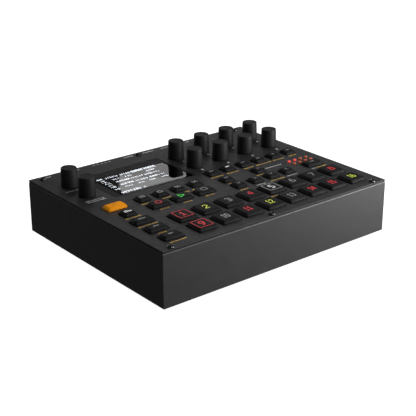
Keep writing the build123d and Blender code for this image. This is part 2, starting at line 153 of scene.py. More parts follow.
def skin(rings):
    """A closed skin over a stack of rings: four-sided faces from each ring to the next, and a fan from each
    end ring to its own middle.  The rings run anticlockwise seen from the end that the stack goes towards."""
    count, around = rings.shape[:2]
    points = np.concatenate([rings.reshape(-1, 3), rings[[0, -1]].mean(axis=1)])
    level, place = np.meshgrid(np.arange(count - 1), np.arange(around), indexing="ij")
    following = (place + 1) % around
    low, high = level * around, (level + 1) * around
    quads = np.stack([low + place, low + following, high + following, high + place], axis=-1)
    place = np.arange(around)
    following = (place + 1) % around
    last = (count - 1) * around
    first_fan = np.stack([following, place, np.full(around, count * around)], axis=-1)
    last_fan = np.stack([last + place, last + following, np.full(around, count * around + 1)], axis=-1)
    return points, quads.reshape(-1, 4), np.concatenate([first_fan, last_fan])


def turned(profile, centre, around):
    """A profile of (radius, height) carried round the upright axis through centre: (r cos a, r sin a)."""
    profile = np.asarray(profile, float)
    angle = np.linspace(0, 2 * np.pi, around, endpoint=False)
    rings = np.empty((len(profile), around, 3))
    rings[..., 0] = centre[0] + profile[:, :1] * np.cos(angle)
    rings[..., 1] = centre[1] + profile[:, :1] * np.sin(angle)
    rings[..., 2] = profile[:, 1:]
    return skin(rings)


def make(name, parts, material, body, sharp=35):
    """One piece from several skins: their points and faces are put one after the other into one mesh, which
    is smooth but for edges sharper than so many degrees, and it rides on a body."""
    starts = np.cumsum([0] + [len(part[0]) for part in parts])
    points = np.concatenate([part[0] for part in parts])
    quads = np.concatenate([part[1].reshape(-1, 4) + start for part, start in zip(parts, starts)])
    threes = np.concatenate([part[2].reshape(-1, 3) + start for part, start in zip(parts, starts)])
    mesh = bpy.data.meshes.new(name)
    mesh.from_pydata(points.tolist(), [], quads.tolist() + threes.tolist())
    mesh.shade_smooth()
    mesh.set_sharp_from_angle(angle=np.radians(sharp))
    mesh.materials.append(material)
    piece = bpy.data.objects.new(name, mesh)
    bpy.context.scene.collection.objects.link(piece)
    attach(piece, body)
    return piece


feet_low, feet_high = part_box("rubber_feet")
foot_profile = soften(
    [
        (foot_core, feet_low.z + foot_cup_depth),
        (foot_cup, feet_low.z + foot_cup_depth),
        (foot_cup + foot_slant, feet_low.z),
        (foot_radius - foot_slant, feet_low.z),
        (foot_radius, feet_high.z),
        (foot_core, feet_high.z),
    ],
    [foot_cup_edge, foot_cup_edge, foot_edge, foot_top_edge],
)
foot_spots = [
    (x, y)
    for x in (feet_low.x + foot_radius, feet_high.x - foot_radius)
    for y in (feet_low.y + foot_radius, feet_high.y - foot_radius)
]
rubber = finish("rubber", (0.018, 0.018, 0.018), 0.75, 5200, 0.03 * mm)
feet = make("feet", [turned(foot_profile, spot, foot_around) for spot in foot_spots], rubber, "case")
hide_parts("rubber_feet")

# Circuit boards: green laminate with switches, encoders and the display's module, shut away in the case.
# Only the ends of the light pipes reach daylight, under the lamps' lenses.
dress("circuit_board", finish("laminate", (0.012, 0.055, 0.022), 0.4, 900, 0.02 * mm))

# Rear sockets: five jacks with plated hexagonal nuts, three round sockets, a data socket and a power inlet.
# Their bodies are black moulded plastic; nuts and contacts are metal.
rear_face = 85.0 * mm
nut_reach = 0.5 * mm
nut_metal = (0.55, 0.55, 0.56)
nut_waves = 400
socket_black = (0.016, 0.016, 0.017)
no_threes = np.empty((0, 3), int)


def nut_and_body(name):
    """Black plastic inboard, and bright plated metal on whatever stands more than nut_reach off the wall."""
    material = finish(name, socket_black, 0.42, 3200, 0.01 * mm)
    tree = material.node_tree
    shader = tree.nodes["Principled BSDF"]
    place = tree.nodes.new("ShaderNodeTexCoord")
    parts = tree.nodes.new("ShaderNodeSeparateXYZ")
    off_wall = tree.nodes.new("ShaderNodeMath")
    off_wall.operation = "GREATER_THAN"
    off_wall.inputs[1].default_value = rear_face + nut_reach
    tree.links.new(place.outputs["Object"], parts.inputs["Vector"])
    tree.links.new(parts.outputs["Y"], off_wall.inputs[0])
    mix = tree.nodes.new("ShaderNodeMix")
    mix.data_type = "RGBA"
    tree.links.new(off_wall.outputs["Value"], mix.inputs["Factor"])
    tree.links.new(shader.inputs["Base Color"].links[0].from_socket, mix.inputs["A"])
    tree.links.new(drift(tree, nut_metal, 0.08, nut_waves), mix.inputs["B"])
    tree.links.new(mix.outputs["Result"], shader.inputs["Base Color"])
    tree.links.new(off_wall.outputs["Value"], shader.inputs["Metallic"])
    return material


def facing_rear(profile, middle, around):
    """A profile of (radius, y) carried round the rear-facing axis through middle: -r cos a, y, r sin a."""
    points, quads, threes = turned(profile, (0, 0), around)
    points = np.stack([middle[0] - points[:, 0], points[:, 2], middle[1] + points[:, 1]], axis=-1)
    return points, quads, threes


def hoop(outer, inner, low, high, middle, around):
    """A ring with a four-cornered section round the rear-facing axis: four circles of points, each joined to
    the next and the last to the first, so that it is closed on itself."""
    section = np.array([(outer, low), (outer, high), (inner, high), (inner, low)])
    angle = np.linspace(0, 2 * np.pi, around, endpoint=False)
    rings = np.empty((len(section), around, 3))
    rings[..., 0] = middle[0] - section[:, :1] * np.cos(angle)
    rings[..., 1] = section[:, 1:]
    rings[..., 2] = middle[1] + section[:, :1] * np.sin(angle)
    level, place = np.meshgrid(np.arange(len(section)), np.arange(around), indexing="ij")
    low_ring, high_ring = level * around, (level + 1) % len(section) * around
    following = (place + 1) % around
    corners = [low_ring + place, low_ring + following, high_ring + following, high_ring + place]
    return rings.reshape(-1, 3), np.stack(corners, axis=-1).reshape(-1, 4), no_threes


dress("rear_connectors", nut_and_body("socket_bodies"))

# Each round socket has five contacts, an eighth of a turn apart over its upper half, and a plated shell.
# A contact is a thin ring round its hole, and the hole is shown by a flat black disc of painted shade; both
# start just inside the core's face.
core_face = rear_face + 0.3 * mm
contacts_each = 5
contact_circle = 3.5 * mm
contact_radius = 0.95 * mm
contact_proud = 0.05 * mm
contact_around = 20
hole_radius = 0.72 * mm
hole_shade_proud = 0.02 * mm
sunk_start = core_face - 0.02 * mm
shell_outer = 6.75 * mm
shell_inner = 6.4 * mm
shell_depth = 8.5 * mm
shell_setback = 0.35 * mm
shell_around = 48
plated = finish("plated", nut_metal, 0.3, 3200, 0.004 * mm, metal=1.0)
# Painted shade: a near black with no gloss, for the discs that stand in for the shaded inside of the
# contacts' holes.
hole_painted_shade = finish("hole_painted_shade", (0.0015, 0.0015, 0.0015), 0.8, 3200, 0.002 * mm, gloss=0.0)
socket_middles = [
    (mount["pos_m"][0], mount["pos_m"][2])
    for mount in frame["record"]["mounts"]
    if mount["name"].startswith("din_socket")
]
contact_spots = [
    (x + contact_circle * np.cos(turn), z + contact_circle * np.sin(turn))
    for x, z in socket_middles
    for turn in np.linspace(0, np.pi, contacts_each)
]
contact_rings = [
    hoop(contact_radius, hole_radius, sunk_start, core_face + contact_proud, spot, contact_around)
    for spot in contact_spots
]
shells = [
    hoop(shell_outer, shell_inner, core_face - shell_depth, core_face - shell_setback, middle, shell_around)
    for middle in socket_middles
]
# Each hole is a thin black disc of painted shade, standing a little proud of the core's face.
hole_shade_profile = [(hole_radius, sunk_start), (hole_radius, core_face + hole_shade_proud)]
hole_shade_discs = [facing_rear(hole_shade_profile, spot, contact_around) for spot in contact_spots]
for name, parts, material in [
    ("socket_contacts", contact_rings, plated),
    ("socket_shells", shells, plated),
    ("socket_hole_shade", hole_shade_discs, hole_painted_shade),
]:
    make(name, parts, material, "case")

# Power button: a round moulded plunger, pushed into the rear wall, that a collar keeps from falling out.
# Its profile runs along the rear-facing axis, with a soft rim and a slightly hollow face.
button_low, button_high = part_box("power_button")
button_middle = ((button_low.x + button_high.x) / 2, (button_low.z + button_high.z) / 2)
button_radius = 3.4 * mm
button_rim = 0.9 * mm
button_hollow = 0.35 * mm
button_stem = 1.5 * mm
button_core = 0.1 * mm
collar_radius = 4.4 * mm
stem_tip = button_low.y + 0.05 * mm
stem_end = button_low.y + 1.2 * mm
collar_end = stem_end + 1.2 * mm
button_edge = 0.1 * mm
button_rim_edge = 0.5 * mm
button_hollow_edge = 0.3 * mm
button_around = 40
button_profile = soften(
    [
        (button_core, stem_tip),
        (button_stem, stem_tip),
        (button_stem, stem_end),
        (collar_radius, stem_end),
        (collar_radius, collar_end),
        (button_radius, collar_end),
        (button_radius, button_high.y),
        (button_radius - button_rim, button_high.y),
        (button_core, button_high.y - button_hollow),
    ],
    [button_edge] * 5 + [button_rim_edge, button_hollow_edge],
)
button_plastic = finish("button_plastic", (0.02, 0.02, 0.021), 0.38, 3200, 0.01 * mm)
button_skin = facing_rear(button_profile, button_middle, button_around)
button = make("rear_button", [button_skin], button_plastic, "power_button")
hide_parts("power_button")

# Top panel: one flat steel sheet, laser cut for keys, spindles, lamps and display, in the same black coat as
# the case, but painted half as light, a painted shade that darkens the top against the case's sides.
# Small printed marks lie on it as a thin film of ink: orange for second functions, white for the rest.
# Painted shade: the case's coat at half its lightness, so that the top reads darker than the case's sides.
panel_shaded_black = (0.0165, 0.0165, 0.0177)
panel_coat = finish("panel_coat", panel_shaded_black, 0.5, 2600, 0.02 * mm, gloss=0.43, edge=0.5 * mm)
dress("top_panel", panel_coat)
panel_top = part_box("top_panel")[1].z
left_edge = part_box("chassis")[0].x
front_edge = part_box("chassis")[0].y
film = 0.03 * mm
orange_ink = (0.72, 0.44, 0.09)
white_ink = (0.62, 0.62, 0.62)
box_corners = np.array([(x, y, z) for z in (0, 1) for x, y in ((0, 0), (1, 0), (1, 1), (0, 1))], float)
box_sides = np.array(
    [(3, 2, 1, 0), (4, 5, 6, 7), (0, 1, 5, 4), (1, 2, 6, 5), (2, 3, 7, 6), (3, 0, 4, 7)]
)
dash_pitch = 1.15
dash_lengths = (0.5, 1.0)
dash_gaps = (0.28, 0.45)
dash_half_heights = (0.32, 0.5)


def tiles(low, high):
    """Upright-sided tiles from rows of lowest and highest corners: corner = low + (0 or 1) (high - low)."""
    points = low[:, None] + box_corners * (high - low)[:, None]
    sides = box_sides + 8 * np.arange(len(low))[:, None, None]
    return points.reshape(-1, 3), sides.reshape(-1, 4), no_threes


def printed_line(x0, x1, y, height, level, dice, origin=(left_edge, front_edge)):
    """A row of small dashes of uneven length and height, from x0 to x1 millimetres, that stands for a printed
    caption: lengths and gaps are drawn at random, added up, and shrunk to end at x1."""
    count = max(int((x1 - x0) / dash_pitch), 2)
    steps = np.stack([dice.uniform(*dash_lengths, count), dice.uniform(*dash_gaps, count)], axis=-1)
    steps = steps.reshape(-1)[:-1]
    ends = np.concatenate([[0], np.cumsum(steps)]) / steps.sum() * (x1 - x0) + x0
    half = height * dice.uniform(*dash_half_heights, count)
    bottom, top = np.full(count, level), np.full(count, level + film)
    low = np.column_stack([ends[0::2] * mm + origin[0], (y - half) * mm + origin[1], bottom])
    high = np.column_stack([ends[1::2] * mm + origin[0], (y + half) * mm + origin[1], top])
    return tiles(low, high)


def ink(name, colour):
    """Screen-printed ink: matt, with small thin places where the coat's grain shows through."""
    return finish(name, colour, 0.6, 3800, 0.01 * mm, share=0.12)


# (from, to, row) of each caption, in millimetres from the case's left and front edges
orange_captions = [
    (111.5, 124, 87.0), (128, 139.5, 87.0), (145.5, 155, 87.0), (158.5, 174, 87.0), (176.5, 188, 87.0),
    (194, 202, 87.0), (114, 118, 69.0), (143, 151, 69.0), (113, 120.5, 53.2), (144, 158, 53.2),
    (193, 203, 53.2), (38, 44, 76.6), (57, 65, 76.6), (78, 82, 76.6), (85, 87, 76.6), (43, 51, 60.4),
    (64, 72, 60.4), (85, 93, 60.4), (13, 26, 61.0), (11.5, 27.5, 43.3), (16, 23, 26.6), (13, 27, 9.4),
    (122, 129, 28.6),
]
white_captions = [
    (129, 138, 53.2), (161, 171, 53.2), (188, 192, 53.2), (158, 176, 76.8), (8, 20, 131.8),
    (9, 25, 106.3), (9, 25, 103.7), (12.7, 17, 168.6), (26, 27.6, 168.6), (41.6, 43.2, 168.6),
    (56, 57.8, 168.6), (60, 61.4, 168.6), (63.8, 65.2, 168.6), (67.6, 69, 168.6), (71.5, 73, 168.6),
    (86, 95, 168.6), (105, 116, 168.6), (124, 132.4, 168.6), (150, 153, 168.6),
]
dice = np.random.default_rng(7)
for name, colour, captions, caption_height in [
    ("orange_captions", orange_ink, orange_captions, 1.4),
    ("white_captions", white_ink, white_captions, 1.15),
]:
    rows = [printed_line(*caption, caption_height, panel_top, dice) for caption in captions]
    make(name, rows, ink(name, colour), "case")

# The data knobs are numbered in front of their caps
data_knobs = [f"data_knob_{i + 1}" for i in range(8)]
knob_number_drop = 10.3 * mm
knob_number_size = 2.8 * mm
knob_number_swell = 0.02
no_quads = np.empty((0, 4), int)


def numeral(text, size, centre, level):
    """A plain figure from the built-in typeface, scaled to a height and laid flat, a film thick: the typeset
    outline becomes a mesh, and each point goes to centre + scale (point - its box's middle)."""
    curve = bpy.data.curves.new("figures", "FONT")
    curve.body = text
    curve.extrude = 0.5
    curve.offset = knob_number_swell
    curve.resolution_u = 3
    typeset = bpy.data.objects.new("figures", curve)
    mesh = bpy.data.meshes.new_from_object(typeset)
    bpy.data.objects.remove(typeset)
    points = np.empty(3 * len(mesh.vertices))
    mesh.vertices.foreach_get("co", points)
    points = points.reshape(-1, 3)
    mesh.calc_loop_triangles()
    threes = np.empty(3 * len(mesh.loop_triangles), np.int32)
    mesh.loop_triangles.foreach_get("vertices", threes)
    bpy.data.meshes.remove(mesh)
    low, high = points.min(axis=0), points.max(axis=0)
    scale = size / (high[1] - low[1])
    flat = (points[:, :2] - (low[:2] + high[:2]) / 2) * scale + np.asarray(centre)
    upright = level + film * (points[:, 2] - low[2]) / (high[2] - low[2])
    return np.column_stack([flat, upright]), no_quads, threes.reshape(-1, 3)


knob_numbers = []
for i, name in enumerate(data_knobs):
    low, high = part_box(name)
    spot = ((low.x + high.x) / 2, (low.y + high.y) / 2 - knob_number_drop)
    knob_numbers.append(numeral(str(i + 1), knob_number_size, spot, panel_top))
number_ink = ink("number_ink", (0.9, 0.9, 0.9))
make("knob_numbers", knob_numbers, number_ink, "case")

# Lamps: eight clear red lenses over the light pipes, the first pair lit bright, the others dim.
# Each lens is a short cylinder with a soft rim, over its hole.
page_low, page_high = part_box("page_key")
page_flange = 1.0 * mm
lamp_first_x = (page_low.x + page_high.x) / 2 - 11.3 * mm
lamp_first_y = page_high.y - page_flange + 3.4 * mm
lamp_pitch = 6.1 * mm
lamp_row_pitch = 6.0 * mm
lens_radius = 1.32 * mm
lens_side = 1.2 * mm
lens_rise = 1.28 * mm
lens_rim = 0.2 * mm
lens_core = 0.05 * mm
lens_sunk = 0.02 * mm
lens_around = 24
glow_waves = 900


def lens(centre):
    """A short cylinder with a rounded rim and a low crown, over the end of its light pipe."""
    profile = soften(
        [
            (lens_radius, panel_top - lens_sunk),
            (lens_radius, panel_top + lens_side),
            (lens_core, panel_top + lens_rise),
        ],
        [lens_rim],
    )
    return turned(profile, centre, lens_around)


def glow(name, colour, strength, base=0.3, rough=0.3, gloss=0.2):
    """Translucent plastic lit from behind: its light is a little uneven, as over a small source."""
    material = bpy.data.materials.new(name)
    material.use_nodes = True
    tree = material.node_tree
    shader = tree.nodes["Principled BSDF"]
    shader.inputs["Roughness"].default_value = rough
    shader.inputs["Specular IOR Level"].default_value = gloss
    shader.inputs["Emission Strength"].default_value = strength
    tree.links.new(drift(tree, colour, 0.12, glow_waves), shader.inputs["Emission Color"])
    tree.links.new(drift(tree, [c * base for c in colour], 0.1, glow_waves), shader.inputs["Base Color"])
    return material


lamp_spots = [
    (lamp_first_x + lamp_pitch * i, lamp_first_y + lamp_row_pitch * j) for j in (1, 0) for i in range(4)
]
bright_lens = glow("bright_lens", (0.9, 0.09, 0.075), 0.42, base=0.6, rough=0.2, gloss=1.0)
dim_lens = glow("dim_lens", (0.70, 0.15, 0.05), 0.13, base=0.45, rough=0.2, gloss=1.0)
for name, clear_red, spots in [
    ("lit_lamps", bright_lens, lamp_spots[:2]),
    ("dim_lamps", dim_lens, lamp_spots[2:]),
]:
    make(name, [lens(spot) for spot in spots], clear_red, "case", sharp=60)

# Display: a satin black frame let into the panel, a flush pane of glass, and a lit image on a black ground.
# The image is plain bars and blocks in rows, as on a small picture display.
dress("display_bezel", finish("bezel_plastic", (0.0095, 0.0095, 0.01), 0.5, 3200, 0.01 * mm, gloss=0.13))
glass_low, glass_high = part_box("display_glass")
pane_bottom = glass_high.z - 0.35 * mm
pane_corner = 0.3 * mm
pane_edge = 0.05 * mm
pane_core = 5 * mm
ground_top = pane_bottom - 0.07 * mm
ground_margin = 0.02 * mm
ground_lift = 0.01 * mm


def rounded_rings(half_x, half_y, radius, level, centre, arc=7):
    """Level rings, each a rectangle of half sizes half_x and half_y with its corners turned to quarter
    circles: corner centre + radius (cos a, sin a)."""
    corner = np.repeat(np.arange(4), arc)
    angle = corner * np.pi / 2 + np.tile(np.linspace(0, np.pi / 2, arc), 4)
    side_x = np.array([1, -1, -1, 1])[corner]
    side_y = np.array([1, 1, -1, -1])[corner]
    half_x, half_y, radius, level = [np.asarray(v, float)[:, None] for v in (half_x, half_y, radius, level)]
    rings = np.empty((len(half_x), len(corner), 3))
    rings[..., 0] = centre[0] + side_x * (half_x - radius) + radius * np.cos(angle)
    rings[..., 1] = centre[1] + side_y * (half_y - radius) + radius * np.sin(angle)
    rings[..., 2] = level
    return rings


def pane_glass():
    """Polished smoked glass, so dark that the display under it looks black where it is unlit."""
    material = bpy.data.materials.new("pane_glass")
    material.use_nodes = True
    tree = material.node_tree
    shader = tree.nodes["Principled BSDF"]
    shader.inputs["Base Color"].default_value = (0.04, 0.04, 0.04, 1)
    shader.inputs["Transmission Weight"].default_value = 1.0
    shader.inputs["IOR"].default_value = 1.5
    tree.links.new(spread(tree, clouds(tree, 90, 2), 0.0, 0.02), shader.inputs["Roughness"])
    return material


pane_centre = ((glass_low.x + glass_high.x) / 2, (glass_low.y + glass_high.y) / 2)
pane_half = ((glass_high.x - glass_low.x) / 2, (glass_high.y - glass_low.y) / 2)
pane_profile = soften(
    [(pane_core, pane_bottom), (0, pane_bottom), (0, glass_high.z), (pane_core, glass_high.z)],
    [pane_edge, pane_edge],
    4,
)
pane_rings = rounded_rings(
    pane_half[0] - pane_profile[:, 0],
    pane_half[1] - pane_profile[:, 0],
    np.full(len(pane_profile), pane_corner),
    pane_profile[:, 1],
    pane_centre,
)
pane = make("display_pane", [skin(pane_rings)], pane_glass(), "case")
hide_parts("display_glass")

ground = tiles(
    np.array([(glass_low.x + ground_margin, glass_low.y + ground_margin, glass_low.z + ground_lift)]),
    np.array([(glass_high.x - ground_margin, glass_high.y - ground_margin, ground_top)]),
)
ground_black = finish("display_black", (0.006, 0.006, 0.007), 0.6, 3200, 0.002 * mm, gloss=0.0)
make("display_ground", [ground], ground_black, "case")
fill_spread = 0.12
fill_limits = (0.2, 0.95)


def blocks(x0, x1, y0, y1, count, fill, dice):
    """A row of lit blocks across x0 to x1 and y0 to y1 millimetres: equal cells, each filled to a random
    share of its width, round fill."""
    cell = (x1 - x0) / count
    start = x0 + cell * np.arange(count)
    width = cell * np.clip(dice.normal(fill, fill_spread, count), *fill_limits)
    front = np.full(count, y0 * mm + front_edge)
    low = np.column_stack([start * mm + left_edge, front, np.full(count, ground_top)])
    high = low + np.column_stack([width * mm, np.full(count, (y1 - y0) * mm), np.full(count, film)])
    return tiles(low, high)


# (from, to, lower, upper, blocks, share filled) of each row of the lit image, in millimetres
image_rows = [
    (38.5, 45.4, 137.8, 140.0, 1, 0.95), (38.5, 45.4, 134.0, 135.6, 3, 0.7),
    (38.5, 45.4, 130.4, 132.2, 4, 0.7), (38.5, 45.4, 126.4, 128.4, 3, 0.75),
    (38.5, 45.4, 122.6, 124.2, 4, 0.6), (38.5, 45.4, 118.0, 120.4, 2, 0.7),
    (38.5, 45.4, 113.2, 115.4, 3, 0.7), (48.0, 60.0, 137.2, 140.0, 6, 0.6),
    (61.5, 71.0, 137.2, 140.0, 5, 0.65), (72.0, 84.0, 136.8, 140.2, 1, 0.95),
    (84.0, 95.5, 136.8, 140.2, 5, 0.8), (51.0, 58.0, 132.0, 134.0, 3, 0.6),
    (62.5, 69.0, 132.0, 134.0, 3, 0.6), (83.0, 92.0, 131.8, 134.2, 4, 0.75),
    (50.5, 63.0, 126.0, 128.4, 5, 0.8), (64.0, 76.0, 126.2, 128.0, 6, 0.55),
    (77.0, 85.0, 126.0, 128.4, 3, 0.85), (86.0, 92.5, 126.2, 128.0, 3, 0.5),
    (50.0, 62.5, 119.2, 121.6, 4, 0.85), (63.5, 76.0, 119.4, 121.2, 5, 0.6),
    (77.0, 85.0, 119.2, 121.6, 3, 0.85), (86.0, 92.5, 119.4, 121.0, 3, 0.5),
    (50.5, 57.5, 114.0, 115.6, 5, 0.6), (62.5, 69.0, 114.0, 115.6, 4, 0.6),
    (73.0, 80.0, 114.0, 115.6, 4, 0.6), (84.5, 91.5, 114.0, 115.6, 4, 0.65),
    (38.2, 59.0, 101.9, 107.4, 8, 0.72), (60.8, 64.0, 102.5, 107.0, 2, 0.5),
]
dice = np.random.default_rng(11)
image = [blocks(*row, dice) for row in image_rows]
display_light = glow("display_light", (0.86, 0.92, 1.0), 30, base=0.05, gloss=0.0)
make("display_image", image, display_light, "case")

# Keys: forty-one matt caps, each one moulding with a flange held under the panel, a short straight skirt, a
# sloping shoulder, a flat crown and a stem below.  Only the function key is orange.
flange_reach = 1.0 * mm
flange_thickness = 1.0 * mm
flange_top = panel_top - 1.7 * mm
stem_half = 2.0 * mm
stem_corner = 0.4 * mm
key_skirt = 0.7 * mm
skirt_edge = 0.35 * mm
base_corner = 2.0 * mm
crown_inset = 1.6 * mm
crown_run = 1.2 * mm
crown_edge = 0.6 * mm
crown_corner = 1.5 * mm
innermost_corner = 0.4 * mm


def keycap(low, high):
    """A cap as a stack of level rings from the stem's end to the crown.  The skirt, shoulder and crown follow
    a softened profile of (inset, height), and the corner radius shrinks in step with the inset."""
    centre = ((low.x + high.x) / 2, (low.y + high.y) / 2)
    cap = np.array([(high.x - low.x) / 2, (high.y - low.y) / 2]) - flange_reach
    shoulder = soften(
        [
            (0, flange_top),
            (0, panel_top + key_skirt),
            (crown_inset, high.z),
            (crown_inset + crown_run, high.z),
        ],
        [skirt_edge, crown_edge],
        6,
    )
    corner = base_corner + (crown_corner - base_corner) * np.minimum(shoulder[:, 0] / crown_inset, 1)
    corner[-1] = innermost_corner
    below = flange_top - flange_thickness
    half_x = np.concatenate([[stem_half] * 2, [cap[0] + flange_reach] * 2, cap[0] - shoulder[:, 0]])
    half_y = np.concatenate([[stem_half] * 2, [cap[1] + flange_reach] * 2, cap[1] - shoulder[:, 0]])
    radius = np.concatenate([[stem_corner] * 2, [base_corner + flange_reach] * 2, corner])
    level = np.concatenate([[low.z, below, below, flange_top], shoulder[:, 1]])
    return skin(rounded_rings(half_x, half_y, radius, level, centre, 8))


key_plastic = finish("key_plastic", (0.0062, 0.0062, 0.0064), 0.5, 4200, 0.012 * mm, gloss=0.115)
orange_plastic = finish("orange_plastic", (0.82, 0.285, 0.0), 0.5, 4200, 0.012 * mm, gloss=0.12)
for name in [node for node in frame["nodes"] if "_key" in node]:
    plastic, slot = (orange_plastic, "orange_key") if name == "function_key" else (key_plastic, "key_plastic")
    cap = make(f"{name}_cap", [keycap(*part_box(name))], plastic, name, sharp=40)
    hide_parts(name)

# Legends: clear windows in the caps' paint, lit from below in the colour of each track's state.
# They are strokes of even width, or plain figures, a film's thickness above the crown.


def stroke(path, width, centre, level, closed=False):
    """A flat ribbon of even width along a path of millimetre points: at each point a four-cornered section is
    set on the mitre, half a width each way, and the sections are skinned."""
    path = np.asarray(path, float) * mm
    if closed:
        before, after = np.roll(path, 1, axis=0), np.roll(path, -1, axis=0)
    else:
        before = np.concatenate([path[:1] * 2 - path[1:2], path[:-1]])
        after = np.concatenate([path[1:], path[-1:] * 2 - path[-2:-1]])
    along_in = (path - before) / np.linalg.norm(path - before, axis=1, keepdims=True)
    along_out = (after - path) / np.linalg.norm(after - path, axis=1, keepdims=True)
    along = along_in + along_out
    along /= np.linalg.norm(along, axis=1, keepdims=True)
    across = np.column_stack([-along[:, 1], along[:, 0]])
    mitre = width * mm / 2 / np.sum(along * along_in, axis=1, keepdims=True)
    left = path + across * mitre + np.asarray(centre)
    right = path - across * mitre + np.asarray(centre)
    low = np.full((len(path), 1), level)
    high = low + film
    section = [np.hstack(pair) for pair in ((right, low), (right, high), (left, high), (left, low))]
    count = len(path)
    station, side = np.meshgrid(np.arange(count if closed else count - 1), np.arange(4), indexing="ij")
    beyond = (station + 1) % count
    around = (side + 1) % 4
    corners = [station * 4 + side, station * 4 + around, beyond * 4 + around, beyond * 4 + side]
    quads = np.stack(corners, axis=-1).reshape(-1, 4)[:, ::-1]
    if not closed:
        last = 4 * (count - 1)
        quads = np.concatenate([quads, [(0, 1, 2, 3), (last + 3, last + 2, last + 1, last)]])
    return np.stack(section, axis=1).reshape(-1, 3), quads, no_threes


def rounded_path(half_x, half_y, radius):
    """The points of one rounded rectangle, in millimetres."""
    return rounded_rings([half_x], [half_y], [radius], [0], (0, 0), 5)[0, :, :2]


def circle_path(radius, count=32):
    """Points round a circle, in millimetres: radius (cos a, sin a)."""
    a = np.linspace(0, 2 * np.pi, count, endpoint=False)
    return radius * np.column_stack([np.cos(a), np.sin(a)])


def wave_path(length, height, turns, count=24):
    """Points along a sine wave in millimetres: height sin(2 pi turns x / length)."""
    x = np.linspace(-length / 2, length / 2, count)
    return np.column_stack([x, height * np.sin(2 * np.pi * turns * x / length)])


light_colours = {
    "red": (0.72, 0.035, 0.05),
    "lime": (0.62, 0.68, 0.07),
    "green": (0.045, 0.75, 0.07),
    "bright": (0.85, 0.85, 0.85),
    "soft": (0.4, 0.4, 0.4),
    "grey": (0.27, 0.27, 0.27),
    "dull": (0.26, 0.26, 0.26),
    "faint": (0.04, 0.04, 0.04),
}
legend_strength = 0.75
lights = {light: glow(f"{light}_light", colour, legend_strength) for light, colour in light_colours.items()}
step_lights = [
    "red", "lime", "grey", "red", "bright", "grey", "grey", "red",
    "red", "grey", "red", "lime", "grey", "red", "red", "lime",
]
framed_steps = {1: "red", 5: "soft", 9: "red", 13: "faint"}
frame_half = 5.85
frame_corner = 0.6
frame_stroke = 0.36
figure_size = 5.6
figure_stroke = 0.66
figure_width = 3.6
figure_pair_width = 2.1
figure_gap = 1.0


def crown_spot(name):
    """The middle of a key's crown, and its height."""
    low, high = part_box(name)
    return ((low.x + high.x) / 2, (low.y + high.y) / 2), high.z


def legend(name, parts, light, key):
    """A legend rides on its own key."""
    make(name, parts, lights[light], key)


# Figures as closed or open paths in a box one wide and one high
loop = [(0, 0.2), (0, 0.8), (0.22, 1), (0.78, 1), (1, 0.8), (1, 0.2), (0.78, 0), (0.22, 0)]
six_bowl = [(0, 0.3), (0.25, 0.56), (0.75, 0.56), (1, 0.42), (1, 0.16), (0.78, 0), (0.22, 0), (0, 0.2)]
nine_bowl = [(1 - x, 1 - y) for x, y in six_bowl]
eight_low = [(x, y * 0.56) for x, y in loop]
eight_high = [(0.5 + (x - 0.5) * 0.86, 1 - y * 0.44) for x, y in loop]
three_high = [(0, 0.9), (0.2, 1), (0.8, 1), (1, 0.86), (1, 0.66), (0.8, 0.54), (0.35, 0.54)]
three_low = [(0.8, 0.54), (1, 0.4), (1, 0.14), (0.8, 0), (0.2, 0), (0, 0.1)]
five = [(0.95, 1), (0.1, 1), (0.05, 0.56), (0.78, 0.58), (1, 0.42), (1, 0.16), (0.78, 0), (0, 0)]
figures = {
    "0": [(True, loop)],
    "1": [(False, [(0.12, 0.74), (0.5, 1.0), (0.5, 0)]), (False, [(0.05, 0), (0.95, 0)])],
    "2": [(False, [(0, 0.76), (0.2, 1), (0.8, 1), (1, 0.8), (1, 0.62), (0, 0.1), (0, 0), (1, 0)])],
    "3": [(False, three_high), (False, three_low)],
    "4": [(False, [(0.74, 0), (0.74, 1)]), (False, [(0.5, 1), (0, 0.36), (0, 0.27), (1, 0.27)])],
    "5": [(False, five)],
    "6": [(True, six_bowl), (False, [(0.85, 1), (0.4, 1), (0, 0.6), (0, 0.25)])],
    "7": [(False, [(0, 1), (1, 1), (1, 0.9), (0.35, 0)])],
    "8": [(True, eight_low), (True, eight_high)],
    "9": [(True, nine_bowl), (False, [(0.15, 0), (0.6, 0), (1, 0.4), (1, 0.75)])],
}


def figure_strokes(text, centre, level):
    """One or two figures side by side, each path scaled from its unit box to millimetres about the middle."""
    width = figure_width if len(text) == 1 else figure_pair_width
    pitch = width + figure_gap
    parts = []
    for place, mark in enumerate(text):
        shift = (place - (len(text) - 1) / 2) * pitch
        for closed, path in figures[mark]:
            points = (np.array(path) - 0.5) * (width, figure_size) + (shift, 0)
            parts.append(stroke(points, figure_stroke, centre, level, closed))
    return parts


for i, light in enumerate(step_lights):
    key = f"step_key_{i + 1}"
    spot, level = crown_spot(key)
    legend(f"{key}_figure", figure_strokes(str(i + 1), spot, level), light, key)
    if i + 1 in framed_steps:
        square = rounded_path(frame_half, frame_half, frame_corner)
        edge = stroke(square, frame_stroke, spot, level, closed=True)
        legend(f"{key}_frame", [edge], framed_steps[i + 1], key)

